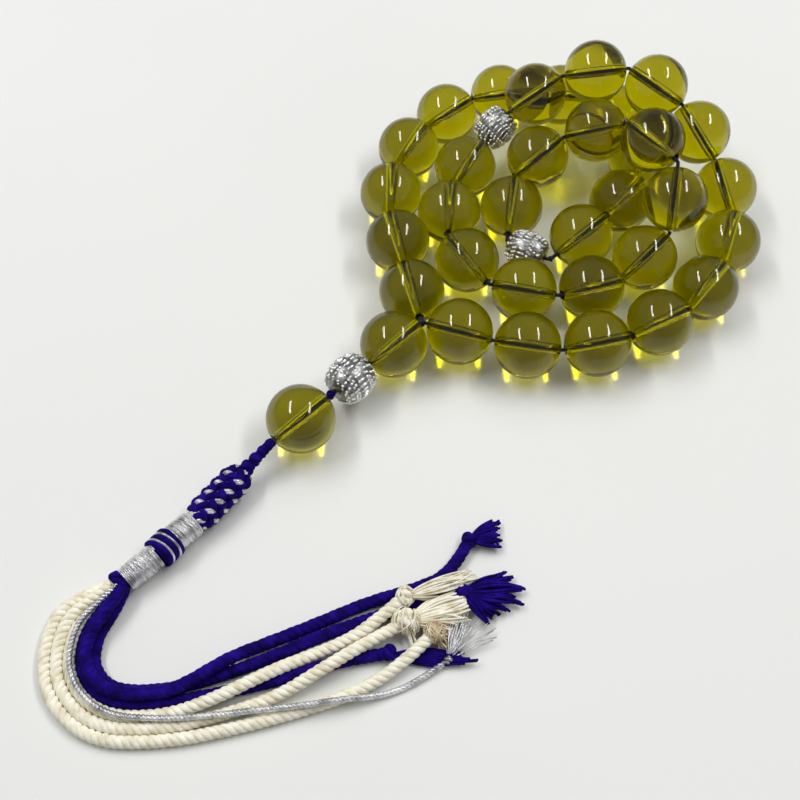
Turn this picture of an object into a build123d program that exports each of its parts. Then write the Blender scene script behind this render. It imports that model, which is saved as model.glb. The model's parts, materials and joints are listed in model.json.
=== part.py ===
# Misbaha (prayer beads) laid down on a table: thirty-three turned resin beads in three equal groups,
# strung on one closed loop of cord with a silver marker bead after the first and the second group.
# Both ends of the loop meet in the junction knot. From there the cord runs on through a leader bead,
# a silver terminal bead and a tail bead to a braided neck, which ends in a tassel of twisted cords.
#
# Frame: millimetres, +Z up and the table is z = 0. The origin is under the middle of the box that
# holds the beads, the strings and the neck down to the lower wrap.

import os
from math import cos, pi, radians, sin, tan

from build123d import *

os.makedirs("parts", exist_ok=True)

# ---------------------------------------------------------------- driving dimensions
BEAD_DIAMETER = 14.0
BEAD_RADIUS = BEAD_DIAMETER / 2
BORE_DIAMETER = 1.6
BORING_LENGTH = BEAD_DIAMETER + 1.0  # the boring tool comes out at both ends of a bead
MOUTH_CHAMFER = 0.25  # broken edge where a bore comes out
BEAD_PLAY = 0.15  # free play at each end of a resin bead, along the string
MARKER_PLAY = 0.45  # and at each end of a marker bead

MARKER_DIAMETER = 9.0
MARKER_LENGTH = 8.6
TERMINAL_DIAMETER = 10.0
TERMINAL_LENGTH = 9.0
COLLAR_SHARE = 0.42  # the diameter of a silver bead's end collars, as a share of its own
COLLAR_LENGTH = 0.5

STRING_DIAMETER = 0.8
STRING_BEND_RADIUS = 1.0  # the string turns this sharply in the gap between two beads
STRING_TO_KNOT = 0.6  # a string's end stops this far from the middle of the junction knot
STOP_KNOT_RADIUS = 0.7
STOP_KNOT_SHIFT = 0.4  # past the gap point, so that the knot sits between the marker and the bead
JUNCTION_KNOT_RADIUS = 1.1
TERMINAL_KNOT_RADIUS = 1.05
SWING_GAP = 0.15  # half the gap in the string where the tail or the tassel swings

# How far each piece reaches along the string on each side of its centre, free play included.
BEAD_REACH = BEAD_RADIUS + BEAD_PLAY
MARKER_REACH = MARKER_LENGTH / 2 + MARKER_PLAY

# The tail runs straight from the junction knot, at this heading on the table.
JUNCTION = Vector(-8.5, -7.5, BEAD_RADIUS)
TAIL_HEADING = 224.5
LEADER_DISTANCE = 8.2  # from the junction knot to the centre of the leader bead
TAIL_SWING = 15.55  # where the tail swings, and below it every place down to the tassel's swing
TERMINAL_DISTANCE = 20.4
TERMINAL_KNOT_DISTANCE = 26.0
TAIL_BEAD_DISTANCE = 34.1
TASSEL_SWING = 41.35
NECK_DISTANCE = 41.6

# Where each bead rests: the first two groups run away from the junction knot, one after the other,
# and the third runs back to it. Beads that lie on others sit higher than a radius.
GROUP_PLACES = [
    [(-0.5, -10, 7), (13.5, -13.5, 7), (28, -13, 7), (41.5, -7.6, 7), (52.4, 1.6, 7),
     (59.1, 14.4, 7), (60.1, 28.4, 8.5), (54.1, 38.9, 15.6), (44.8, 48.3, 20.6),
     (31.4, 52.6, 20.9), (18, 50, 16.5)],
    [(2, 36.5, 7), (-2, 23, 7), (1.6, 9.1, 7), (13.5, 1, 7), (28, 1.5, 7), (40, 8.9, 8.1),
     (46.4, 19.1, 15.4), (42.2, 31.8, 20.3), (31, 39.1, 16), (18.3, 36.6, 10.2), (12, 24.4, 7)],
    [(26.9, 15.6, 7.5), (36.6, 25.9, 7.5), (42.1, 39, 7), (37.5, 52.5, 8), (25.5, 60, 7),
     (11, 60, 7), (-2, 53.5, 7), (-11, 42.5, 7), (-15, 28.5, 7), (-13.5, 14.5, 7),
     (-10.5, 0.5, 7)],
]
MARKER_PLACES = [(9, 45, 11), (14.5, 12.5, 5)]

# The neck of the tassel runs down from the tail bead to the table through these points.
BRAID_START = Vector(-44, -42, 4)
BRAID_END = Vector(-52.5, -52.5, 3.5)
UPPER_WRAP_END = Vector(-56.5, -56.5, 3.5)
RING_KNOT_END = Vector(-59, -59.5, 3.5)
LOWER_WRAP_END = Vector(-64.5, -64.5, 3)
BINDING_END = Vector(-66.3, -66.6, 2.55)
NECK_CORD_DIAMETER = 2.0
BRAID_DIAMETER = 6.8
UPPER_WRAP_DIAMETER = 5.4
RING_KNOT_DIAMETER = 6.6
LOWER_WRAP_DIAMETER = 5.0
BINDING_DIAMETER = 3.4
SKIRT_WIDTH = 8.6  # the binding spreads to the two rows of cords that come out of it
SKIRT_HEIGHT = 4.8
END_ROUNDING = 0.8

# The tassel's cords: diameter and the points of the route. They leave the binding stacked in two
# rows and settle side by side on the table, in nested bends about one centre.
CORD = 2.2
THIN_CORD = 1.1
CORD_ROUTES = {
    "cream_cord_1": (CORD, [
        (-68.7, -64.2, 1.2), (-72.6, -66.2, 1.2), (-78, -71.2, 1.2), (-78, -84.8, 1.2),
        (-68.3, -94.5, 1.2), (-54, -94.5, 1.2), (-42, -92, 1.2), (-31, -89, 1.2),
        (-20.5, -85.5, 1.2), (-12.5, -80.5, 1.4), (-8, -76, 1.8)]),
    "cream_cord_2": (CORD, [
        (-67.3, -65.4, 2.9), (-70.5, -67.6, 2.3), (-75.7, -72.1, 1.2), (-75.7, -83.9, 1.2),
        (-67.4, -92.2, 1.2), (-54.3, -92.2, 1.2), (-44, -89.5, 1.2), (-35, -86.5, 1.5),
        (-27, -82, 3.5), (-20, -77.5, 3.5), (-14, -74, 3)]),
    "cream_cord_3": (CORD, [
        (-66.3, -66.5, 1.2), (-68.8, -69.2, 1.2), (-73.4, -73.1, 1.2), (-73.4, -82.9, 1.2),
        (-66.4, -89.9, 1.2), (-55, -90, 1.3), (-46, -87.5, 3.5), (-36.5, -82.5, 3.5),
        (-30, -79, 1.4), (-22, -76, 2.5), (-17, -72.5, 3.6), (-13.5, -69.5, 4)]),
    "navy_cord_1": (CORD, [
        (-65.1, -67.6, 2.9), (-67.1, -70, 2.6), (-71.1, -74, 1.2), (-71.1, -82, 1.2),
        (-65.5, -87.6, 1.2), (-55, -87.6, 1.2), (-44.5, -85.5, 1.2), (-34, -83, 1.2),
        (-24, -79.5, 1.2), (-16.5, -78.5, 1.5)]),
    "navy_cord_2": (CORD, [
        (-63.9, -68.8, 1.2), (-65.5, -70.9, 1.2), (-68.8, -75, 1.2), (-68.8, -81, 1.2),
        (-64.5, -85.3, 1.2), (-55.2, -85.2, 1.2), (-45.5, -82.5, 1.2), (-36.5, -79, 1.2),
        (-28, -75, 1.2), (-18.5, -71.5, 1.2), (-10, -68.6, 1.2), (-3, -67, 1.5)]),
    "navy_cord_3": (CORD, [
        (-63.3, -69.1, 4), (-65.3, -71.3, 4.1), (-70, -75.3, 3.3), (-70, -81.5, 3.3),
        (-65, -86.5, 3.3), (-55, -86.5, 3.4), (-50, -84, 3.6), (-44, -79.8, 3.2),
        (-37.5, -76.3, 1.2), (-28, -72.3, 1.2), (-19, -68.2, 1.2), (-10, -65.5, 1.2),
        (-3.5, -62.5, 1.2), (-0.5, -57, 1.5)]),
    "silver_cord": (THIN_CORD, [
        (-66.2, -66.5, 4.1), (-69, -69, 3.4), (-72.8, -73.5, 3), (-73, -82.7, 3),
        (-66.2, -90, 3), (-55.5, -91, 3), (-46, -90.3, 3), (-38, -89.3, 3.1), (-30, -88.5, 3.1),
        (-23, -87.3, 3), (-16, -86, 0.7), (-10, -83.5, 0.7), (-5, -80, 1)]),
}
KNOT_RADII = {
    "cream_cord_1": 1.9,
    "cream_cord_2": 2.6,
    "cream_cord_3": 1.8,
    "navy_cord_1": 1.7,
    "navy_cord_2": 1.8,
    "navy_cord_3": 1.7,
    "silver_cord": 1.0,
}
KNOT_LIFT = 0.05  # the knots clear the table by this much
ARC_SHARE = 0.45  # of the shorter run beside a corner, taken up by the corner's arc
SETTLING_ROUNDS = 12


# ---------------------------------------------------------------- helpers
def save(part, name):
    part.label = name
    export_step(part, f"parts/{name}.step")


def rod(start, end, diameter):
    """A round bar from one point to another."""
    with BuildPart(Plane(origin=start, z_dir=end - start)) as bar:
        Cylinder(diameter / 2, (end - start).length, align=(Align.CENTER, Align.CENTER, Align.MIN))
    return bar.part


def rounded_rod(start, end, diameter):
    """A round bar with rounded rims, for the wrapped and braided pieces of the neck."""
    with BuildPart(Plane(origin=start, z_dir=end - start)) as bar:
        Cylinder(diameter / 2, (end - start).length, align=(Align.CENTER, Align.CENTER, Align.MIN))
        fillet(bar.edges().filter_by(GeomType.CIRCLE), END_ROUNDING)
    return bar.part


def ball(place, radius):
    with BuildPart(Plane(origin=place)) as knot:
        Sphere(radius)
    return knot.part


def bored_bead(place, axis):
    """A round bead on the string, bored through along the string, with broken mouths."""
    with BuildPart(Plane(origin=place, z_dir=axis)) as bead:
        Sphere(BEAD_RADIUS)
        Cylinder(BORE_DIAMETER / 2, BORING_LENGTH, mode=Mode.SUBTRACT)
        chamfer(bead.edges().filter_by(GeomType.CIRCLE), MOUTH_CHAMFER)
    return bead.part


def silver_bead(place, axis, diameter, length):
    """A silver barrel between two short collars, bored through."""
    side = axis.cross(Vector(0, 0, 1)).normalized()
    collar = COLLAR_SHARE * diameter / 2
    bore = BORE_DIAMETER / 2
    half = length / 2
    barrel = half - COLLAR_LENGTH
    with BuildPart() as bead:
        with BuildSketch(Plane(origin=place, x_dir=side, z_dir=side.cross(axis))):
            with BuildLine():
                ThreePointArc((collar, -barrel), (diameter / 2, 0), (collar, barrel))
                Polyline((collar, barrel), (collar, half), (bore, half))
                Line((bore, half), (bore, -half))
                Polyline((bore, -half), (collar, -half), (collar, -barrel))
            make_face()
        revolve(axis=Axis(place, axis))
    return bead.part


def swept_tube(points, radii, diameter):
    """A tube along straight runs joined by tangent arcs."""
    with BuildPart() as tube:
        with BuildLine() as path:
            FilletPolyline(*points, radius=radii)
        with BuildSketch(Plane(origin=path.line @ 0, z_dir=path.line % 0)):
            Circle(diameter / 2)
        sweep()
    return tube.part, path.wires()[0].length


def largest_radii(points):
    """For each corner of a route, the largest arc that its two runs allow."""
    radii = []
    for before, corner, after in zip(points, points[1:], points[2:]):
        shorter = min((corner - before).length, (after - corner).length)
        turn = radians((corner - before).get_angle(after - corner))
        radii.append(ARC_SHARE * shorter / tan(turn / 2))
    return radii


# ---------------------------------------------------------------- the loop of beads
def reach_past(middle, other, reach):
    """Where the string comes out of a bead, straight across from where it went in."""
    return middle + (middle - other).normalized() * reach


groups = [[Vector(*place) for place in places] for places in GROUP_PLACES]
markers = [Vector(*place) for place in MARKER_PLACES]
stops = [JUNCTION, *groups[0], markers[0], *groups[1], markers[1], *groups[2], JUNCTION]
bead_reaches = [BEAD_REACH] * len(groups[0])
reaches = [0, *bead_reaches, MARKER_REACH, *bead_reaches, MARKER_REACH, *bead_reaches, 0]

# The string bends only in the gaps between beads. Each gap point settles midway between the places
# where the two beads beside it send the string, by half of what is left in every round.
first_gap = JUNCTION + (stops[1] - JUNCTION).normalized() * STRING_TO_KNOT
last_gap = JUNCTION + (stops[-2] - JUNCTION).normalized() * STRING_TO_KNOT
gaps = [first_gap]
for stop, after, reach, reach_after in zip(stops[1:], stops[2:-1], reaches[1:], reaches[2:]):
    gaps.append(stop + (after - stop) * (reach / (reach + reach_after)))
gaps.append(last_gap)
for _ in range(SETTLING_ROUNDS):
    settled = [first_gap]
    for i in range(1, len(gaps) - 1):
        from_before = reach_past(stops[i], gaps[i - 1], reaches[i])
        from_after = reach_past(stops[i + 1], gaps[i + 1], reaches[i + 1])
        midway = (from_before + from_after) / 2
        settled.append((gaps[i] + midway) / 2)
    gaps = settled + [last_gap]

loop_string, loop_length = swept_tube(gaps, STRING_BEND_RADIUS, STRING_DIAMETER)
save(loop_string, "loop_string")
print(f"loop_string length {loop_length:.1f}")
save(ball(JUNCTION, JUNCTION_KNOT_RADIUS), "junction_knot")

bead_number = 0
marker_number = 0
for i in range(1, len(stops) - 1):
    axis = (gaps[i] - gaps[i - 1]).normalized()
    if stops[i] in markers:
        marker_number += 1
        on_string = gaps[i - 1] + axis * (stops[i] - gaps[i - 1]).dot(axis)
        marker = silver_bead(on_string, axis, MARKER_DIAMETER, MARKER_LENGTH)
        save(marker, f"marker_bead_{marker_number}")
        if marker_number == 2:
            toward_bead = (gaps[i + 1] - gaps[i]).normalized()
            save(ball(gaps[i] + toward_bead * STOP_KNOT_SHIFT, STOP_KNOT_RADIUS), "stop_knot")
    else:
        bead_number += 1
        save(bored_bead(stops[i], axis), f"bead_{bead_number:02d}")

# ---------------------------------------------------------------- the tail
tail_direction = Vector(cos(radians(TAIL_HEADING)), sin(radians(TAIL_HEADING)), 0)


def on_tail(distance):
    return JUNCTION + tail_direction * distance


leader_string = rod(on_tail(STRING_TO_KNOT), on_tail(TAIL_SWING - SWING_GAP), STRING_DIAMETER)
tail_string = rod(on_tail(TAIL_SWING + SWING_GAP), on_tail(TASSEL_SWING - SWING_GAP), STRING_DIAMETER)
terminal = silver_bead(on_tail(TERMINAL_DISTANCE), tail_direction, TERMINAL_DIAMETER, TERMINAL_LENGTH)
save(leader_string, "leader_string")
save(bored_bead(on_tail(LEADER_DISTANCE), tail_direction), "leader_bead")
save(tail_string, "tail_string")
save(terminal, "terminal_bead")
save(ball(on_tail(TERMINAL_KNOT_DISTANCE), TERMINAL_KNOT_RADIUS), "terminal_knot")
save(bored_bead(on_tail(TAIL_BEAD_DISTANCE), tail_direction), "tail_bead")

# ---------------------------------------------------------------- the neck of the tassel
save(rod(on_tail(NECK_DISTANCE), BRAID_START, NECK_CORD_DIAMETER), "neck_cord")
save(rounded_rod(BRAID_START, BRAID_END, BRAID_DIAMETER), "neck_braid")
save(rounded_rod(BRAID_END, UPPER_WRAP_END, UPPER_WRAP_DIAMETER), "upper_wrap")
save(rounded_rod(UPPER_WRAP_END, RING_KNOT_END, RING_KNOT_DIAMETER), "ring_knot")
save(rounded_rod(RING_KNOT_END, LOWER_WRAP_END, LOWER_WRAP_DIAMETER), "lower_wrap")

neck_way = Vector(-1, -1, 0)  # level, down the neck
skirt_side = Vector(1, -1, 0)  # level, across the row of cords
with BuildPart() as end_binding:
    with BuildSketch(Plane(origin=LOWER_WRAP_END, x_dir=skirt_side, z_dir=neck_way)):
        Circle(BINDING_DIAMETER / 2)
    with BuildSketch(Plane(origin=BINDING_END, x_dir=skirt_side, z_dir=neck_way)):
        Ellipse(SKIRT_WIDTH / 2, SKIRT_HEIGHT / 2)
    loft()
save(end_binding.part, "end_binding")

# ---------------------------------------------------------------- the tassel's cords and end knots
end_knots = {"cream": [], "navy": [], "silver": []}
for name, (diameter, route) in CORD_ROUTES.items():
    points = [Vector(*point) for point in route]
    radii = largest_radii(points)
    cord, length = swept_tube(points, radii, diameter)
    save(cord, name)
    filled = cord.volume / (pi * diameter**2 / 4 * length)
    print(f"{name} length {length:.1f} volume ratio {filled:.4f} radii", [round(r, 1) for r in radii])
    radius = KNOT_RADII[name]
    knot_place = points[-1] + (points[-1] - points[-2]).normalized() * radius
    knot_place.Z = max(knot_place.Z, radius + KNOT_LIFT)
    end_knots[name.split("_")[0]].append(ball(knot_place, radius))

save(Compound(children=end_knots["cream"]), "cream_end_knots")
save(Compound(children=end_knots["navy"]), "navy_end_knots")
save(end_knots["silver"][0], "silver_end_knot")
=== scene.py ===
# Misbaha (prayer beads) on a pale table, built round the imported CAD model.
# Everything is in metres, +Z up, in the CAD model's own frame.

import json
import math
import random

import bpy
import numpy as np
from mathutils import Matrix, Vector


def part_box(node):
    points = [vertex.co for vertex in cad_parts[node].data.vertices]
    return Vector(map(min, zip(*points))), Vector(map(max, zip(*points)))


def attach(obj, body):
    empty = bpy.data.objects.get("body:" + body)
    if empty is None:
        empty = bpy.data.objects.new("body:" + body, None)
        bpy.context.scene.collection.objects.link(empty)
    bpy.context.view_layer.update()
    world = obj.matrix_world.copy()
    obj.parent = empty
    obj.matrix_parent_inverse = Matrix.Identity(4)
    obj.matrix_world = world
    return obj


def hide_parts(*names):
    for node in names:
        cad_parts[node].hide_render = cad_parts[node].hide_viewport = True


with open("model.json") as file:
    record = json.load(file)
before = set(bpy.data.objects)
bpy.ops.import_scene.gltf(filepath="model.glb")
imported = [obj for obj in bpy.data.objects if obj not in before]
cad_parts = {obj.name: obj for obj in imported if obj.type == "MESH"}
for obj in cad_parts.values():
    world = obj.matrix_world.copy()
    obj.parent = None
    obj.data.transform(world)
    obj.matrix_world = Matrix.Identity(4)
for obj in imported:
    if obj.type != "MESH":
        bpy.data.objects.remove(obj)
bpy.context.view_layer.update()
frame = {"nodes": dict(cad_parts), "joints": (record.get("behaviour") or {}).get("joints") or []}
MM = 0.001
SEED = 7

# ---------------------------------------------------------------- sizes
BEAD_RADIUS = 7 * MM
BORE_RADIUS = 0.8 * MM
MOUTH = 0.25 * MM
SILVER_SIZES = {"marker": (9 * MM, 8.6 * MM), "terminal": (10 * MM, 9 * MM)}  # across and along
CORD = 2.3 * MM
THIN_CORD = 1.15 * MM
STRAND_STEP = 0.25 * MM  # from one ring of a straight strand to the next
SPLINE_STEPS = 48  # points read from each span of a cord's spline

# The tassel's cords: their control points in millimetres. They are the CAD routes' points, but five
# cords start nearer to the neck and cream_cord_1 ends higher, over the threads of navy_cord_1.
CORD_ROUTES = {
    "cream_cord_1": [
        (-67.3, -64.8, 1.4), (-71.8, -66.4, 1.2), (-78, -71.2, 1.2), (-78, -84.8, 1.2),
        (-68.3, -94.5, 1.2), (-54, -94.5, 1.2), (-42, -92, 1.2), (-31, -89, 1.2),
        (-20.5, -85.5, 1.2), (-12.5, -80.5, 2.1), (-8, -76, 2.6)],
    "cream_cord_2": [
        (-66.8, -65.5, 2.9), (-70.2, -67.7, 2.3), (-75.7, -72.1, 1.2), (-75.7, -83.9, 1.2),
        (-67.4, -92.2, 1.2), (-54.3, -92.2, 1.2), (-44, -89.5, 1.2), (-35, -86.5, 1.5),
        (-27, -82, 3.5), (-20, -77.5, 3.5), (-14, -74, 3)],
    "cream_cord_3": [
        (-66.3, -66.5, 1.2), (-68.8, -69.2, 1.2), (-73.4, -73.1, 1.2), (-73.4, -82.9, 1.2),
        (-66.4, -89.9, 1.2), (-55, -90, 1.3), (-46, -87.5, 3.5), (-36.5, -82.5, 3.5),
        (-30, -79, 1.4), (-22, -76, 2.5), (-17, -72.5, 3.6), (-13.5, -69.5, 4)],
    "navy_cord_1": [
        (-65.6, -66.4, 2.9), (-67.5, -69.6, 2.6), (-71.1, -74, 1.2), (-71.1, -82, 1.2),
        (-65.5, -87.6, 1.2), (-55, -87.6, 1.2), (-44.5, -85.5, 1.2), (-34, -83, 1.2),
        (-24, -79.5, 1.2), (-16.5, -78.5, 1.5)],
    "navy_cord_2": [
        (-65, -66.6, 1.6), (-66.2, -69.9, 1.2), (-68.8, -75, 1.2), (-68.8, -81, 1.2),
        (-64.5, -85.3, 1.2), (-55.2, -85.2, 1.2), (-45.5, -82.5, 1.2), (-36.5, -79, 1.2),
        (-28, -75, 1.2), (-18.5, -71.5, 1.2), (-10, -68.6, 1.2), (-3, -67, 1.5)],
    "navy_cord_3": [
        (-64.7, -66.3, 3.9), (-66.4, -69.9, 4.1), (-70, -75.3, 3.3), (-70, -81.5, 3.3),
        (-65, -86.5, 3.3), (-55, -86.5, 3.4), (-50, -84, 3.6), (-44, -79.8, 3.2),
        (-37.5, -76.3, 1.2), (-28, -72.3, 1.2), (-19, -68.2, 1.2), (-10, -65.5, 1.2),
        (-3.5, -62.5, 1.2), (-0.5, -57, 1.5)],
    "silver_cord": [
        (-66.2, -66.5, 4.1), (-69, -69, 3.4), (-72.8, -73.5, 3), (-73, -82.7, 3),
        (-66.2, -90, 3), (-55.5, -91, 3), (-46, -90.3, 3), (-38, -89.3, 3.1), (-30, -88.5, 3.1),
        (-23, -87.3, 3), (-16, -86, 0.7), (-10, -83.5, 0.7), (-5, -80, 1)],
}
KNOT_RADII = {
    "cream_cord_1": 1.9 * MM,
    "cream_cord_2": 2.6 * MM,
    "cream_cord_3": 1.8 * MM,
    "navy_cord_1": 1.7 * MM,
    "navy_cord_2": 1.8 * MM,
    "navy_cord_3": 1.7 * MM,
    "silver_cord": 1.0 * MM,
}
END_NODES = {"cream": "cream_end_knots", "navy": "navy_end_knots", "silver": "silver_end_knot"}


# ---------------------------------------------------------------- materials
def new_material(name):
    material = bpy.data.materials.new(name)
    material.use_nodes = True
    nodes = material.node_tree.nodes
    return material, nodes, material.node_tree.links, nodes["Principled BSDF"]


def add_noise(nodes, links, scale, detail):
    """Noise in the object's own coordinates, so that it moves with the piece."""
    place = nodes.new("ShaderNodeTexCoord")
    noise = nodes.new("ShaderNodeTexNoise")
    noise.inputs["Scale"].default_value = scale
    noise.inputs["Detail"].default_value = detail
    links.new(place.outputs["Object"], noise.inputs["Vector"])
    return noise


def add_ramp(nodes, links, source, *stops):
    ramp = nodes.new("ShaderNodeValToRGB")
    ramp.color_ramp.elements[0].position = stops[0][0]
    ramp.color_ramp.elements[0].color = (*stops[0][1], 1)
    ramp.color_ramp.elements[1].position = stops[-1][0]
    ramp.color_ramp.elements[1].color = (*stops[-1][1], 1)
    for position, colour in stops[1:-1]:
        ramp.color_ramp.elements.new(position).color = (*colour, 1)
    links.new(source, ramp.inputs["Fac"])
    return ramp


def add_bump(nodes, links, height, shader, strength, distance):
    bump = nodes.new("ShaderNodeBump")
    bump.inputs["Strength"].default_value = strength
    bump.inputs["Distance"].default_value = distance
    links.new(height, bump.inputs["Height"])
    links.new(bump.outputs["Normal"], shader.inputs["Normal"])


RESIN_COLOUR = (0.95, 0.93, 0.45, 1)
RESIN_IOR = 1.5
RESIN_GLOSS = 0.34
RESIN_TINT = (0.87, 0.855, 0.0, 1)
RESIN_DENSITY = 490  # per metre, for beads 14 mm across
HAZE_SCALE = 260
HAZE_NOISE = (0.45, 0.8)  # the part of the noise that shows as haze
HAZE_ROUGHNESS = (0.012, 0.06)  # polished, and handled


def resin_material():
    """Clear cast resin: tinted all through, polished, with faint handling haze."""
    material, nodes, links, shader = new_material("resin")
    shader.inputs["Base Color"].default_value = RESIN_COLOUR
    shader.inputs["Transmission Weight"].default_value = 1.0
    shader.inputs["IOR"].default_value = RESIN_IOR
    shader.inputs["Specular IOR Level"].default_value = RESIN_GLOSS
    haze = add_noise(nodes, links, HAZE_SCALE, 6)
    rough = nodes.new("ShaderNodeMapRange")
    rough.inputs["From Min"].default_value = HAZE_NOISE[0]
    rough.inputs["From Max"].default_value = HAZE_NOISE[1]
    rough.inputs["To Min"].default_value = HAZE_ROUGHNESS[0]
    rough.inputs["To Max"].default_value = HAZE_ROUGHNESS[1]
    links.new(haze.outputs["Fac"], rough.inputs["Value"])
    links.new(rough.outputs["Result"], shader.inputs["Roughness"])
    absorption = nodes.new("ShaderNodeVolumeAbsorption")
    absorption.inputs["Color"].default_value = RESIN_TINT
    absorption.inputs["Density"].default_value = RESIN_DENSITY
    links.new(absorption.outputs["Volume"], nodes["Material Output"].inputs["Volume"])
    return material


GRIME_SCALE = 900
GRIME_STOPS = (0.3, 0.62)  # the noise at the darkest and the lightest colour
GRIME_BUMP = 0.15
GRIME_DEPTH = 0.06 * MM


def metal_material(name, low, high, roughness):
    """Cast silver: bright where rubbed, dull and dark where polish doesn't reach."""
    material, nodes, links, shader = new_material(name)
    grime = add_noise(nodes, links, GRIME_SCALE, 5)
    ramp = add_ramp(nodes, links, grime.outputs["Fac"], *zip(GRIME_STOPS, (low, high)))
    links.new(ramp.outputs["Color"], shader.inputs["Base Color"])
    shader.inputs["Metallic"].default_value = 1.0
    shader.inputs["Roughness"].default_value = roughness
    add_bump(nodes, links, grime.outputs["Fac"], shader, GRIME_BUMP, GRIME_DEPTH)
    return material


BLOTCH_SCALE = 420
BLOTCH_STOPS = (0.3, 0.5, 0.72)
FIBRE_SCALE = 5200
FIBRE_BUMP = 0.6
FIBRE_DEPTH = 0.12 * MM
SHEEN_ROUGHNESS = 0.4


def thread_material(name, dark, middle, light, roughness=0.8, sheen=0.3, metallic=0.0, gloss=0.25):
    """Twisted fibre: fine fibres in the bump, blotches of colour, and a soft sheen."""
    material, nodes, links, shader = new_material(name)
    blotch = add_noise(nodes, links, BLOTCH_SCALE, 5)
    stops = zip(BLOTCH_STOPS, (dark, middle, light))
    ramp = add_ramp(nodes, links, blotch.outputs["Fac"], *stops)
    links.new(ramp.outputs["Color"], shader.inputs["Base Color"])
    shader.inputs["Roughness"].default_value = roughness
    shader.inputs["Metallic"].default_value = metallic
    shader.inputs["Specular IOR Level"].default_value = gloss
    shader.inputs["Sheen Weight"].default_value = sheen
    shader.inputs["Sheen Roughness"].default_value = SHEEN_ROUGHNESS
    fibres = add_noise(nodes, links, FIBRE_SCALE, 3)
    add_bump(nodes, links, fibres.outputs["Fac"], shader, FIBRE_BUMP, FIBRE_DEPTH)
    return material


TABLE_MOTTLE = 6
TABLE_ROUGHNESS = 0.75
TABLE_COLOURS = ((0.3, (0.725, 0.73, 0.705)), (0.7, (0.75, 0.755, 0.73)))


def table_material():
    material, nodes, links, shader = new_material("table")
    mottle = add_noise(nodes, links, TABLE_MOTTLE, 3)
    ramp = add_ramp(nodes, links, mottle.outputs["Fac"], *TABLE_COLOURS)
    links.new(ramp.outputs["Color"], shader.inputs["Base Color"])
    shader.inputs["Roughness"].default_value = TABLE_ROUGHNESS
    return material


RESIN = resin_material()
# A metal has its darkest and lightest colour and its roughness. A thread has its darkest, middle and
# lightest colour, then roughness, sheen, metallic and gloss.
SILVER = metal_material("silver", (0.78, 0.78, 0.77), (0.97, 0.97, 0.96), 0.22)
RECESS = metal_material("silver_recess", (0.08, 0.08, 0.08), (0.5, 0.5, 0.49), 0.35)
STRING = thread_material("string", (0.004, 0.004, 0.015), (0.01, 0.01, 0.03), (0.03, 0.03, 0.06))
NAVY = thread_material(
    "navy", (0.003, 0.0005, 0.05), (0.009, 0.001, 0.13), (0.018, 0.004, 0.23), 0.9, 0.0, 0.0, 0.1
)
CREAM = thread_material("cream", (0.68, 0.62, 0.45), (0.85, 0.81, 0.65), (0.93, 0.91, 0.8))
TAN = thread_material("tan", (0.4, 0.28, 0.15), (0.62, 0.5, 0.32), (0.82, 0.74, 0.56))
SILVER_THREAD = thread_material(
    "silver_thread", (0.3, 0.3, 0.31), (0.66, 0.66, 0.67), (0.95, 0.95, 0.95), 0.3, 0.0, 0.75
)
TABLE = table_material()


# ---------------------------------------------------------------- mesh helpers
def finish_mesh(name, vertices, faces, materials, indices=None, smooth=True):
    mesh = bpy.data.meshes.new(name)
    mesh.from_pydata([tuple(v) for v in vertices], [], faces)
    for material in materials:
        mesh.materials.append(material)
    mesh.polygons.foreach_set("use_smooth", [smooth] * len(mesh.polygons))
    if indices is not None:
        mesh.polygons.foreach_set("material_index", indices)
    mesh.update()
    piece = bpy.data.objects.new(name, mesh)
    bpy.context.scene.collection.objects.link(piece)
    return piece


class Shape:
    """Gathers tubes and balls of several materials into one mesh."""

    def __init__(self):
        self.vertices = []
        self.faces = []
        self.indices = []

    def add_grid(self, rings, sides, index, closed_ends=True):
        """Faces between one ring of points and the next."""
        first = len(self.vertices)
        for ring in rings:
            self.vertices.extend(ring)
        for row in range(len(rings) - 1):
            for column in range(sides):
                after = (column + 1) % sides
                a = first + row * sides
                b = a + sides
                self.faces.append((a + column, a + after, b + after, b + column))
                self.indices.append(index)
        if closed_ends:
            last = first + (len(rings) - 1) * sides
            self.faces.append(tuple(range(first + sides - 1, first - 1, -1)))
            self.faces.append(tuple(range(last, last + sides)))
            self.indices.extend((index, index))

    def add_tube(self, path, radius, index=0, sides=8):
        """A tube along a path. radius is one number, or one for each point."""
        path = np.asarray(path)
        radii = np.broadcast_to(radius, len(path))
        angles = np.linspace(0, 2 * math.pi, sides, endpoint=False)
        rings = []
        for point, normal, across, size in zip(path, *moving_frames(path), radii):
            ring = [point + size * (math.cos(a) * normal + math.sin(a) * across) for a in angles]
            rings.append(ring)
        self.add_grid(rings, sides, index)

    def add_ball(self, place, radius, index=0, sides=10):
        rows = sides // 2
        rings = []
        for row in range(rows + 1):
            tilt = math.pi * (row + 0.5) / (rows + 1)
            height = math.cos(tilt) * radius
            girth = math.sin(tilt) * radius
            angles = np.linspace(0, 2 * math.pi, sides, endpoint=False)
            ring = [
                np.array(place) + np.array((girth * math.cos(a), girth * math.sin(a), height))
                for a in angles
            ]
            rings.append(ring[::-1])
        self.add_grid(rings, sides, index)

    def make(self, name, *materials):
        return finish_mesh(name, self.vertices, self.faces, materials, self.indices)


def moving_frames(path):
    """The two directions across a path at each point, turning as little as they can."""
    tangents = np.gradient(path, axis=0)
    tangents /= np.linalg.norm(tangents, axis=1)[:, None]
    normal = np.array((0.0, 0.0, 1.0))
    if abs(tangents[0] @ normal) > 0.9:
        normal = np.array((1.0, 0.0, 0.0))
    normals = []
    for tangent in tangents:
        normal = normal - tangent * (normal @ tangent)
        normal = normal / np.linalg.norm(normal)
        normals.append(normal)
    normals = np.array(normals)
    return normals, np.cross(tangents, normals)


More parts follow.
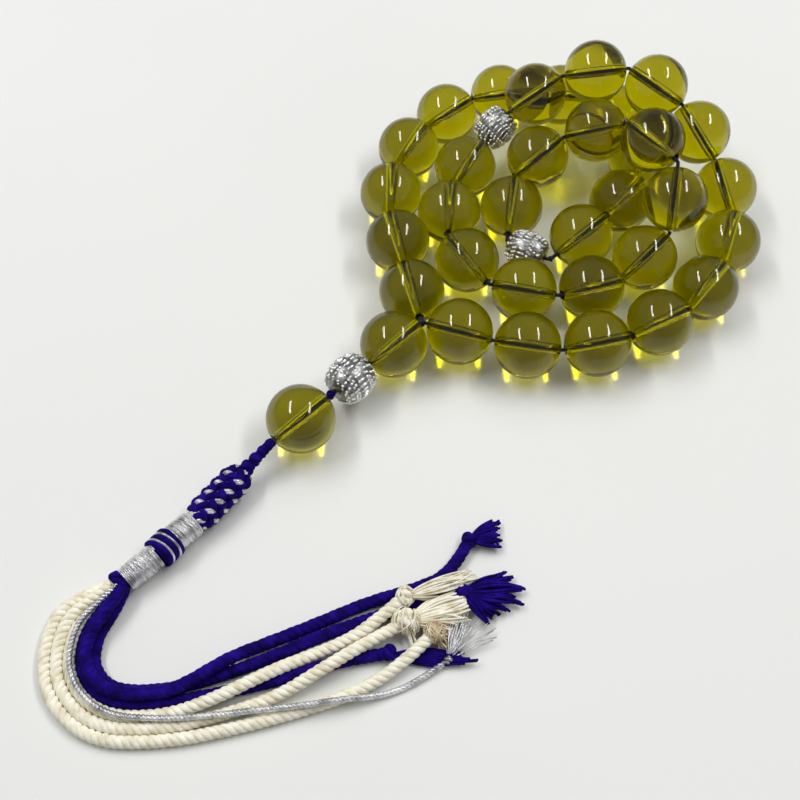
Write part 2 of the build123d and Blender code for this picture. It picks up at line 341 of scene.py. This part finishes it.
def straight(start, end, step=STRAND_STEP):
    """Points on the line from start to end."""
    count = max(4, round(np.linalg.norm(end - start) / step) + 1)
    return start + np.linspace(0, 1, count)[:, None] * (end - start)


def nurbs_line(name, points):
    """Points read from the smooth line that has these control points."""
    curve = bpy.data.curves.new(name, "CURVE")
    curve.dimensions = "3D"
    curve.resolution_u = SPLINE_STEPS
    spline = curve.splines.new("NURBS")
    spline.points.add(len(points) - 1)
    for point, place in zip(spline.points, points):
        point.co = (*[MM * value for value in place], 1)
    spline.order_u = 3
    spline.use_endpoint_u = True
    holder = bpy.data.objects.new(name, curve)
    mesh = bpy.data.meshes.new_from_object(holder)
    line = np.array([tuple(vertex.co) for vertex in mesh.vertices])
    bpy.data.objects.remove(holder)
    bpy.data.curves.remove(curve)
    bpy.data.meshes.remove(mesh)
    return line


PLY_SQUASH = 1.12  # a ply is this much thicker than its place, and presses into its neighbours
# How a twisted cord is laid: its diameter, its number of plies, the length of one turn, and a ply's
# radius as a share of the diameter.
LAYS = {
    "cream": (CORD, 3, 4.2 * MM, 0.27),
    "navy": (CORD, 3, 4.2 * MM, 0.34),
    "silver": (THIN_CORD, 2, 1.6 * MM, 0.29),
    "neck": (2 * MM, 3, 3.4 * MM, 0.27),
}


def twist(shape, path, lay, index=0):
    """A twisted cord along a path: plies laid round each other and pressed together."""
    diameter, plies, pitch, ply_share = LAYS[lay]
    ply_radius = diameter * ply_share
    offset = diameter / 2 - ply_radius
    normals, across = moving_frames(path)
    travelled = np.concatenate(([0], np.cumsum(np.linalg.norm(np.diff(path, axis=0), axis=1))))
    for ply in range(plies):
        angle = 2 * math.pi * (travelled / pitch + ply / plies)
        outwards = np.cos(angle)[:, None] * normals + np.sin(angle)[:, None] * across
        line = path + offset * outwards
        shape.add_tube(line, ply_radius * PLY_SQUASH, index)


KNOT_POINTS = 110
KNOT_HEIGHT = 0.62  # of the knot's radius
KNOT_CORE = 0.55  # a ball that fills its middle


def tied_knot(shape, place, radius, along, thickness=0.34, turn=0.0):
    """A tied knot that fills a ball: a closed three-lobed path, wound tight."""
    t = np.linspace(0, 2 * math.pi, KNOT_POINTS)
    lobe = (2 + np.cos(3 * t)) / 3
    height = KNOT_HEIGHT * np.sin(3 * t)
    local = np.stack([lobe * np.cos(2 * t), lobe * np.sin(2 * t), height], axis=1)
    rotation = Vector(along).to_track_quat("Z", "Y").to_matrix() @ Matrix.Rotation(turn, 3, "Z")
    local = local @ np.array(rotation).T * radius * (1 - thickness)
    shape.add_tube(np.array(place) + local, radius * thickness, sides=10)
    shape.add_ball(place, radius * KNOT_CORE)


def joint_named(name):
    return next(joint for joint in frame["joints"] if joint["name"] == name)


def hand_in(piece, body, node):
    """Makes a piece ride on a body, and hides the node that it replaces."""
    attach(piece, body)
    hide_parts(node)


def place_on_axis(piece, position, axis):
    """Turns the mesh itself, so that the piece's box is no larger than its shape."""
    turn = Vector(axis).to_track_quat("Z", "Y")
    piece.data.transform(turn.to_matrix().to_4x4())
    piece.location = position


# ---------------------------------------------------------------- beads
BEAD_SIDES = 96
BEAD_ROWS = 65
BORE_ROWS = 13


def bead_mesh():
    """A round bead, bored through, with broken mouths: one profile turned about the bore."""
    sides = BEAD_SIDES
    edge = math.asin((BORE_RADIUS + MOUTH) / BEAD_RADIUS)
    tilts = np.linspace(edge, math.pi - edge, BEAD_ROWS)
    profile = [(BEAD_RADIUS * math.sin(t), BEAD_RADIUS * math.cos(t)) for t in tilts]
    bore_end = BEAD_RADIUS * math.cos(edge) - MOUTH
    profile += [(BORE_RADIUS, z) for z in np.linspace(-bore_end, bore_end, BORE_ROWS)]
    vertices = []
    for radius, height in profile:
        for column in range(sides):
            angle = 2 * math.pi * column / sides
            vertices.append((radius * math.cos(angle), radius * math.sin(angle), height))
    faces = []
    for row in range(len(profile)):
        below = (row + 1) % len(profile)
        for column in range(sides):
            after = (column + 1) % sides
            a = row * sides
            b = below * sides
            faces.append((a + column, b + column, b + after, a + after))
    return finish_mesh("bead_pattern", vertices, faces, [RESIN])


# A silver bead's ornament. Rows of ribs have the heights of their two ends as shares of the bead's
# length, their radius in millimetres and their number. Rows of grains have their height, their radius,
# their number and how far they are turned, in steps, and each is there on both halves.
RIB_ROWS = ((-0.11, 0.11, 0.3, 25), (0.29, 0.37, 0.3, 17), (-0.37, -0.29, 0.3, 17))
GRAIN_ROWS = (
    (0.17, 0.36, 27, 0), (0.235, 0.34, 25, 0.5), (0.41, 0.34, 15, 0.5), (0.445, 0.26, 14, 0),
)
RELIEF = 0.45 * MM  # how much smaller the plain body is than the bead
RIB_LIFT = 0.2  # of a rib's radius
RIB_SWELL = np.array((0.45, 0.9, 1, 1, 0.9, 0.45))  # of its radius, from end to end
COLLAR_SHARE = 0.42  # the collar's radius as a share of the bead's
COLLAR_LENGTH = 0.5 * MM
SILVER_SIDES = 48
SILVER_ROWS = 25
ROSETTE = 9  # grains round each mouth
ROSETTE_GRAIN = 0.42 * MM
ROSETTE_INSET = 0.45 * MM  # from the collar's edge
ROSETTE_DEPTH = 0.35 * MM  # from the bead's end


def silver_bead(name, diameter, length):
    """A cast barrel: bands of short ribs between rows of grains, and a collar at each end."""
    shape = Shape()
    half = length / 2
    body = diameter / 2 - RELIEF
    collar = COLLAR_SHARE * diameter / 2
    ring = collar - ROSETTE_INSET
    shoulder = half - COLLAR_LENGTH

    def girth(height):
        return collar + (body - collar) * math.sqrt(max(0, 1 - (height / half) ** 2))

    def on_body(height, angle, lift=0.0):
        radius = girth(height) + lift
        return (radius * math.cos(angle), radius * math.sin(angle), height)

    angles = np.linspace(0, 2 * math.pi, SILVER_SIDES, endpoint=False)
    profile = [(BORE_RADIUS, -half), (collar, -half), (collar, -shoulder)]
    profile += [(girth(height), height) for height in np.linspace(-shoulder, shoulder, SILVER_ROWS)]
    profile += [(collar, shoulder), (collar, half), (BORE_RADIUS, half), (BORE_RADIUS, -half)]
    rings = [[(r * math.cos(a), r * math.sin(a), z) for a in angles] for r, z in profile]
    shape.add_grid(rings, SILVER_SIDES, 0, closed_ends=False)

    for low, high, size, count in RIB_ROWS:
        size *= MM
        for number in range(count):
            angle = 2 * math.pi * number / count
            heights = np.linspace(low * length, high * length, len(RIB_SWELL))
            path = [on_body(height, angle, size * RIB_LIFT) for height in heights]
            shape.add_tube(path, size * RIB_SWELL, 1, 6)
    for side in (-1, 1):
        for share, size, count, shift in GRAIN_ROWS:
            for number in range(count):
                place = on_body(side * share * length, 2 * math.pi * (number + shift) / count)
                shape.add_ball(place, size * MM, 1, 8)
        for number in range(ROSETTE):
            angle = 2 * math.pi * number / ROSETTE
            place = (ring * math.cos(angle), ring * math.sin(angle), side * (half - ROSETTE_DEPTH))
            shape.add_ball(place, ROSETTE_GRAIN, 1, 10)
    return shape.make(name, RECESS, SILVER)


def set_beads():
    pattern = bead_mesh()
    for joint in frame["joints"]:
        name = joint["name"]
        if not name.endswith("_spin"):
            continue
        node = name.removesuffix("_spin")
        size = SILVER_SIZES.get(node.split("_")[0])
        if size:
            piece = silver_bead(f"{node}_visual", *size)
        else:
            piece = bpy.data.objects.new(f"{node}_visual", pattern.data.copy())
            bpy.context.scene.collection.objects.link(piece)
        place_on_axis(piece, joint["pos_m"], joint["axis"])
        hand_in(piece, node, node)
    bpy.data.objects.remove(pattern)


# ---------------------------------------------------------------- strings and small knots
SMALL_KNOT_WAY = (1, 1, 0.4)


def set_strings():
    for node in ("loop_string", "leader_string", "tail_string"):
        string = frame["nodes"][node]
        string.data.materials.clear()
        string.data.materials.append(STRING)
    knots = (("junction_knot", "loop"), ("stop_knot", "loop"), ("terminal_knot", "tail"))
    for node, body in knots:
        low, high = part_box(node)
        middle = (np.array(low) + np.array(high)) / 2
        shape = Shape()
        tied_knot(shape, middle, (high[0] - low[0]) / 2, SMALL_KNOT_WAY)
        knot = shape.make(f"{node}_visual", NAVY if node == "terminal_knot" else STRING)
        hand_in(knot, body, node)


# ---------------------------------------------------------------- neck of the tassel
# The same places, in millimetres, as in the CAD model.
NECK_PLACES = {
    "braid_start": np.array((-44, -42, 4)) * MM,
    "braid_end": np.array((-52.5, -52.5, 3.5)) * MM,
    "upper_wrap_end": np.array((-56.5, -56.5, 3.5)) * MM,
    "ring_end": np.array((-59, -59.5, 3.5)) * MM,
    "lower_wrap_end": np.array((-64.5, -64.5, 3)) * MM,
    "binding_end": np.array((-66.3, -66.6, 2.55)) * MM,
}
PIVOT_GAP = 0.25 * MM  # from the tassel's pivot to the start of the neck cord
# Where each knot of the neck cord sits along it, and the knot's radius in millimetres.
NECK_KNOTS = ((0.1, 1.15), (0.33, 1.3), (0.58, 1.45), (0.84, 1.7))
NECK_KNOT_TURN = 9  # radians, over the length of the neck cord
CORE_STEP = 1 * MM


def around(start, end, along, radius, angle):
    """Points round the line from start to end; along is from 0 to 1."""
    axis = end - start
    normals, across = moving_frames(np.array([start, start + axis / 2, end]))
    middle = start + along[:, None] * axis
    turn = np.cos(angle)[:, None] * normals[0] + np.sin(angle)[:, None] * across[0]
    return middle + np.broadcast_to(radius, len(along))[:, None] * turn


TURN_SPACING = 0.92  # from one turn to the next, in thicknesses of the thread
TURN_POINTS = 22
WRAP_WAVES = ((0.035, 31), (0.03, 83))  # each a share of the radius, and radians along the wrap
LOOSE_WRAPS = 16
LOOSE_POINTS = 40
LOOSE_RANGE = (0.03, 0.97)  # of the wrap's length
LOOSE_ANGLES = (3, 7)  # radians, how far a loose wrap goes round
LOOSE_DEPTH = 0.1  # of the thread's thickness
LOOSE_RADIUS = 0.4


def wrapped(node, start, end, radius, thread):
    """A silver thread wound close round a navy core, with looser turns slanting over it."""
    shape = Shape()
    turns = np.linalg.norm(end - start) / (thread * TURN_SPACING)
    along = np.linspace(0, 1, int(turns * TURN_POINTS))
    uneven = np.ones(len(along))
    for share, rate in WRAP_WAVES:
        uneven += share * np.sin(along * rate)
    line_radius = (radius - thread / 2) * uneven
    winding = around(start, end, along, line_radius, 2 * math.pi * turns * along)
    shape.add_tube(winding, thread / 2, 0, 6)
    shape.add_tube(straight(start, end, CORE_STEP), radius - thread, 1, 20)
    for _ in range(LOOSE_WRAPS):
        first, last = sorted(random.uniform(*LOOSE_RANGE) for _ in range(2))
        slant = np.linspace(first, last, LOOSE_POINTS)
        angle = random.uniform(0, 6) + np.linspace(0, random.uniform(*LOOSE_ANGLES), LOOSE_POINTS)
        path = around(start, end, slant, radius - LOOSE_DEPTH * thread, angle)
        shape.add_tube(path, LOOSE_RADIUS * thread, 0, 6)
    piece = shape.make(f"{node}_visual", SILVER_THREAD, NAVY)
    hand_in(piece, "tassel", node)


# The braid's shares, in thicknesses of its thread.
BRAID_DEPTH = 0.8  # from the outside to the middle of a thread
BRAID_WEAVE = 0.32  # how far a thread rises and sinks
BRAID_STRAND = 0.48  # a navy thread's radius
BRAID_CORE_DEPTH = 1.2
FLOAT_STRAND = 0.22  # a silver thread's radius
FLOAT_LIFT = 0.24
FLOAT_PLACES = (0.5, 0.9)  # beside the navy thread
BRAID_POINTS = 160
LEAST_SWELL = 0.3  # the square of the share of its radius that the braid keeps at its ends


def braided(node, start, end, radius, thread, leads, turns):
    """Threads laid both ways round a core, over and under, one way with silver beside the navy."""
    shape = Shape()
    along = np.linspace(0, 1, BRAID_POINTS)
    swell = np.sqrt(np.clip(1 - (2 * along - 1) ** 8, LEAST_SWELL, 1))
    for way in (-1, 1):
        weave = way * BRAID_WEAVE * thread * np.cos(2 * math.pi * turns * leads * along)
        line_radius = (radius - BRAID_DEPTH * thread) * swell + weave
        for lead in range(leads):
            angle = way * 2 * math.pi * turns * along + 2 * math.pi * lead / leads
            path = around(start, end, along, line_radius, angle)
            shape.add_tube(path, BRAID_STRAND * thread)
            if way > 0:
                for beside in FLOAT_PLACES:
                    turned = angle + beside * thread / radius
                    silver = around(start, end, along, line_radius + FLOAT_LIFT * thread, turned)
                    shape.add_tube(silver, FLOAT_STRAND * thread, 1, 6)
    core_radius = radius - BRAID_CORE_DEPTH * thread
    shape.add_tube(straight(start, end, CORE_STEP), core_radius, sides=20)
    piece = shape.make(f"{node}_visual", NAVY, SILVER_THREAD)
    hand_in(piece, "tassel", node)


# The ring knot's bands: the place as a share of the knot's length, the band's radius in
# millimetres, and 0 for navy or 1 for silver.
RING_BANDS = ((0.1, 0.62, 0), (0.32, 0.28, 1), (0.53, 0.78, 0), (0.76, 0.28, 1), (0.92, 0.5, 0))
RING_SLANT = 0.2  # how far a band leans either way, as a share of the knot's length
RING_SLANT_TURN = 2.4  # radians, where it leans furthest
RING_ENDS = (0.02, 0.98)
RING_POINTS = 60
RING_CORE_DEPTH = 0.9 * MM


def banded(node, start, end, radius):
    """A ring knot: broad slanting navy bands with thin silver threads lying between them."""
    shape = Shape()
    turn = np.linspace(0, 2 * math.pi, RING_POINTS)
    for share, thickness, index in RING_BANDS:
        thickness *= MM
        along = np.clip(share + RING_SLANT * np.cos(turn - RING_SLANT_TURN), *RING_ENDS)
        ring = around(start, end, along, radius - thickness, turn)
        shape.add_tube(ring, thickness, index, 10)
    shape.add_tube(straight(start, end, CORE_STEP), radius - RING_CORE_DEPTH, sides=24)
    piece = shape.make(f"{node}_visual", NAVY, SILVER_THREAD)
    hand_in(piece, "tassel", node)


def set_neck():
    places = NECK_PLACES
    shape = Shape()
    pivot = np.array(joint_named("tassel_swing")["pos_m"])
    way = np.array(joint_named("tail_bead_spin")["axis"])
    start = pivot + way * PIVOT_GAP
    twist(shape, straight(start, places["braid_start"]), "neck")
    for share, radius in NECK_KNOTS:
        place = start + (places["braid_start"] - start) * share
        tied_knot(shape, place, radius * MM, way, thickness=0.4, turn=share * NECK_KNOT_TURN)
    cord = shape.make("neck_cord_visual", NAVY)
    hand_in(cord, "tassel", "neck_cord")

    braided("neck_braid", places["braid_start"], places["braid_end"],
            radius=3.4 * MM, thread=1.7 * MM, leads=6, turns=0.85)
    wrapped("upper_wrap", places["braid_end"], places["upper_wrap_end"],
            radius=2.7 * MM, thread=0.45 * MM)
    banded("ring_knot", places["upper_wrap_end"], places["ring_end"], radius=3.3 * MM)
    wrapped("lower_wrap", places["ring_end"], places["lower_wrap_end"],
            radius=2.5 * MM, thread=0.4 * MM)


# ---------------------------------------------------------------- tassel
THREADS = {"navy": NAVY, "cream": CREAM, "silver": SILVER_THREAD}
TIP_HEIGHT = 1.4 * MM
LIFT = 0.12  # how high loose threads bow, as a share of their length
# Past each end knot, fans of loose threads. A fan has its heading and its whole spread in
# degrees, its reach in millimetres, its clumps, the threads in a clump, how far they stray at the
# tip and how thick they are, and its lift where that isn't LIFT.
FANS = {
    "cream_cord_1": [(10, 130, 3.4, 7, 9, 0.9, 0.28)],
    "cream_cord_2": [
        (20, 26, 14.5, 8, 12, 0.7, 0.5), (5, 30, 10, 4, 8, 0.7, 0.4), (-70, 12, 5.5, 2, 3, 0.25, 0.36)],
    "cream_cord_3": [(22, 8, 16, 5, 8, 0.5, 0.36), (12, 14, 11, 3, 5, 0.5, 0.34)],
    "navy_cord_1": [(-3, 8, 16, 4, 7, 0.45, 0.62, 0)],
    "navy_cord_2": [(9, 38, 12, 6, 8, 0.35, 0.66), (-36, 30, 9.5, 4, 7, 0.35, 0.62)],
    "navy_cord_3": [(33, 16, 8, 3, 6, 0.35, 0.62), (0, 22, 6.5, 3, 7, 0.4, 0.62)],
    "silver_cord": [(74, 12, 13, 3, 6, 0.4, 0.3), (42, 34, 12, 5, 2, 0.25, 0.28)],
}
CLUMP_REACH = (0.72, 1)  # of the fan's reach
THREAD_REACH = (0.86, 1.04)  # of the clump's reach
UNDER_A_CORD = 0.5 * MM  # the loose threads of navy_cord_1 pass under cream_cord_1 at this height
STRAND_POINTS = 12
STRAND_BOW = 0.1  # how far it bows sideways, as a share of its length
STRAND_LIFT = (0.2, 1)  # of the fan's lift
STRAND_TAPER = 0.75  # its thickness at the tip, as a share of that at its root


def strand_to(shape, start, tip, thickness, lift):
    """One loose thread: it bows sideways and upwards on its way to its tip."""
    along = np.linspace(0, 1, STRAND_POINTS)[:, None]
    reach = tip - start
    size = np.linalg.norm(reach)
    side = np.array((-reach[1], reach[0], 0)) / size
    swing = np.sin(math.pi * along)
    line = start + along * reach + side * random.uniform(-STRAND_BOW, STRAND_BOW) * size * swing
    line[:, 2] += (random.uniform(*STRAND_LIFT) * lift * size * swing)[:, 0]
    line[:, 2] = np.maximum(line[:, 2], thickness / 2)
    shape.add_tube(line, thickness / 2 * np.linspace(1, STRAND_TAPER, STRAND_POINTS), 0, 6)


def tuft(shape, start, heading, spread, reach, clumps, threads, stray, thickness, lift=LIFT):
    """Loose threads fanning out of a knot and down to the table, gathered into clumps."""
    for clump in range(clumps):
        angle = math.radians(heading + spread * (clump / (clumps - 1) - 0.5))
        length = reach * random.uniform(*CLUMP_REACH) * MM
        middle = start + length * np.array((math.cos(angle), math.sin(angle), 0))
        middle[2] = TIP_HEIGHT
        for _ in range(threads):
            sway = np.array([random.uniform(-1, 1) * stray * MM for _ in range(3)])
            tip = start + (middle - start) * random.uniform(*THREAD_REACH) + sway
            strand_to(shape, start, tip, thickness * MM, lift)


FUZZ = {"cream_cord_1": 90, "cream_cord_2": 24, "cream_cord_3": 14}  # curls round each knot
CURL_POINTS = 9
CURL_ANGLES = (1.2, 2.6)  # radians
CURL_RADII = (0.92, 1.12)  # of the knot's radius
CURL_THICKNESS = 0.26 * MM


def fuzz(shape, place, radius, count):
    """Short curls of loose fibre standing round a knot."""
    for _ in range(count):
        pole = Vector([random.gauss(0, 1) for _ in range(3)]).normalized()
        first = np.array(pole.orthogonal().normalized())
        second = np.cross(pole, first)
        turn = np.linspace(0, random.uniform(*CURL_ANGLES), CURL_POINTS)[:, None]
        curl = radius * random.uniform(*CURL_RADII)
        line = place + curl * (np.cos(turn) * first + np.sin(turn) * second)
        line[:, 2] = np.maximum(line[:, 2], CURL_THICKNESS / 2)
        shape.add_tube(line, CURL_THICKNESS / 2, 0, 6)


BINDING_KNOT_OFFSET = np.array((-1.6, 0.1, 0.9)) * MM  # from the end of the lower wrap
BINDING_KNOT_RADIUS = 1.5 * MM
SKIRT_START = 0.12  # where the cords leave the wrap, as a share of the way to their routes
BINDING_CORE_SHARE = 0.25  # of the way along the binding
BINDING_CORE_RADIUS = 1.8 * MM


def make_binding():
    """The navy knot that ties the cords, and the cords coming together into the wrap."""
    start = NECK_PLACES["lower_wrap_end"]
    end = NECK_PLACES["binding_end"]
    shape = Shape()
    knot_place = start + BINDING_KNOT_OFFSET
    tied_knot(shape, knot_place, BINDING_KNOT_RADIUS, end - start, thickness=0.42)
    for name, route in CORD_ROUTES.items():
        first = np.array(route[0]) * MM
        family = name.split("_")[0]
        skirt = straight(start + (first - start) * SKIRT_START, first)
        twist(shape, skirt, family, list(THREADS).index(family))
    core_place = start + (end - start) * BINDING_CORE_SHARE
    shape.add_ball(core_place, BINDING_CORE_RADIUS, sides=16)
    binding = shape.make("end_binding_visual", *THREADS.values())
    hand_in(binding, "tassel", "end_binding")
    return binding


HEADING_POINTS = 5  # over which a cord's heading is measured at its end
KNOT_FILL = 0.9  # how far a cord's strands run into its knot, in the knot's radii
KNOT_CLEARANCE = 0.05 * MM  # above the table


def set_cords():
    for name, route in CORD_ROUTES.items():
        family = name.split("_")[0]
        material = THREADS[family]
        line = nurbs_line(name, route)
        end = line[-1]
        way = end - line[-1 - HEADING_POINTS]
        way /= np.linalg.norm(way)
        radius = KNOT_RADII[name]
        into_knot = straight(end, end + way * radius * KNOT_FILL)[1:]
        shape = Shape()
        twist(shape, np.concatenate((line, into_knot)), family)
        cord = shape.make(f"{name}_visual", material)

        knot_place = end + way * radius
        knot_place[2] = max(knot_place[2], radius + KNOT_CLEARANCE)
        knot_shape = Shape()
        tied_knot(knot_shape, knot_place, radius, way, turn=random.uniform(0, 3))
        tuft_start = knot_place.copy()
        if name == "navy_cord_1":
            tuft_start[2] = UNDER_A_CORD
        for fan in FANS[name]:
            tuft(knot_shape, tuft_start, *fan)
        fuzz(knot_shape, knot_place, radius, FUZZ.get(name, 0))
        knot = knot_shape.make(f"{name}_knot", TAN if name == "cream_cord_1" else material)
        hand_in(cord, "tassel", name)
        hand_in(knot, "tassel", END_NODES[family])
        if name == "navy_cord_1":
            make_binding()


# ---------------------------------------------------------------- table, light and camera
CAMERA_ELEVATION = math.radians(57.5)
CAMERA_DISTANCE = 251.5 * MM
CAMERA_TARGET = Vector((-13, -22.5, 0)) * MM
CAMERA_LENS = 54.3
CAMERA_SENSOR = 36  # in millimetres, as is the lens
CAMERA_NEAREST = 0.01
STRIP_SIZE = (0.13, 0.86)
STRIP_POWER = 6.0
STRIP_ASIDE = 0.59
STRIP_BEHIND = 0.2
STRIP_HEIGHT = 1.0
SOFTBOX_SIZE = (1.3, 1.0)
SOFTBOX_POWER = 7.0
SOFTBOX_PLACE = (0, 0.6, 1.15)
ROOM_LIGHT = 0.26
ROOM_COLOUR = (0.98, 0.98, 1.0, 1)
TABLE_HALF = 3.0


def set_table():
    half = TABLE_HALF
    corners = [(-half, -half, 0), (half, -half, 0), (half, half, 0), (-half, half, 0)]
    table = finish_mesh("table", corners, [(0, 1, 2, 3)], [TABLE], smooth=False)


def add_panel(name, size, power, place, faces, reflected=True):
    light = bpy.data.lights.new(name, "AREA")
    light.shape = "RECTANGLE"
    light.size, light.size_y = size
    light.energy = power
    lamp = bpy.data.objects.new(name, light)
    bpy.context.scene.collection.objects.link(lamp)
    lamp.location = place
    lamp.rotation_euler = Vector(faces).to_track_quat("-Z", "Y").to_euler()
    lamp.visible_glossy = reflected


def set_light():
    """Two strip lights side by side above, a soft panel behind, and a dim pale room."""
    for side in (-1, 1):
        place = (side * STRIP_ASIDE, STRIP_BEHIND, STRIP_HEIGHT)
        add_panel("strip", STRIP_SIZE, STRIP_POWER, place, (0, 0, -1))
    faces = -Vector(SOFTBOX_PLACE)
    add_panel("softbox", SOFTBOX_SIZE, SOFTBOX_POWER, SOFTBOX_PLACE, faces, reflected=False)
    world = bpy.data.worlds.new("room")
    world.use_nodes = True
    background = world.node_tree.nodes["Background"]
    background.inputs["Color"].default_value = ROOM_COLOUR
    background.inputs["Strength"].default_value = ROOM_LIGHT
    bpy.context.scene.world = world
    bpy.context.scene.view_settings.view_transform = "Standard"
    # Unblurred, the light that comes through a bead draws its bright crescents on the table.
    bpy.context.scene.cycles.blur_glossy = 0


def set_camera():
    data = bpy.data.cameras.new("camera")
    data.lens = CAMERA_LENS
    data.sensor_width = CAMERA_SENSOR
    data.clip_start = CAMERA_NEAREST
    camera = bpy.data.objects.new("camera", data)
    bpy.context.scene.collection.objects.link(camera)
    away = Vector((0, -math.cos(CAMERA_ELEVATION), math.sin(CAMERA_ELEVATION)))
    camera.location = CAMERA_TARGET + away * CAMERA_DISTANCE
    camera.rotation_euler = (math.pi / 2 - CAMERA_ELEVATION, 0, 0)
    bpy.context.scene.camera = camera


random.seed(SEED)
set_camera()
set_cords()
set_beads()
set_strings()
set_neck()
set_table()
set_light()
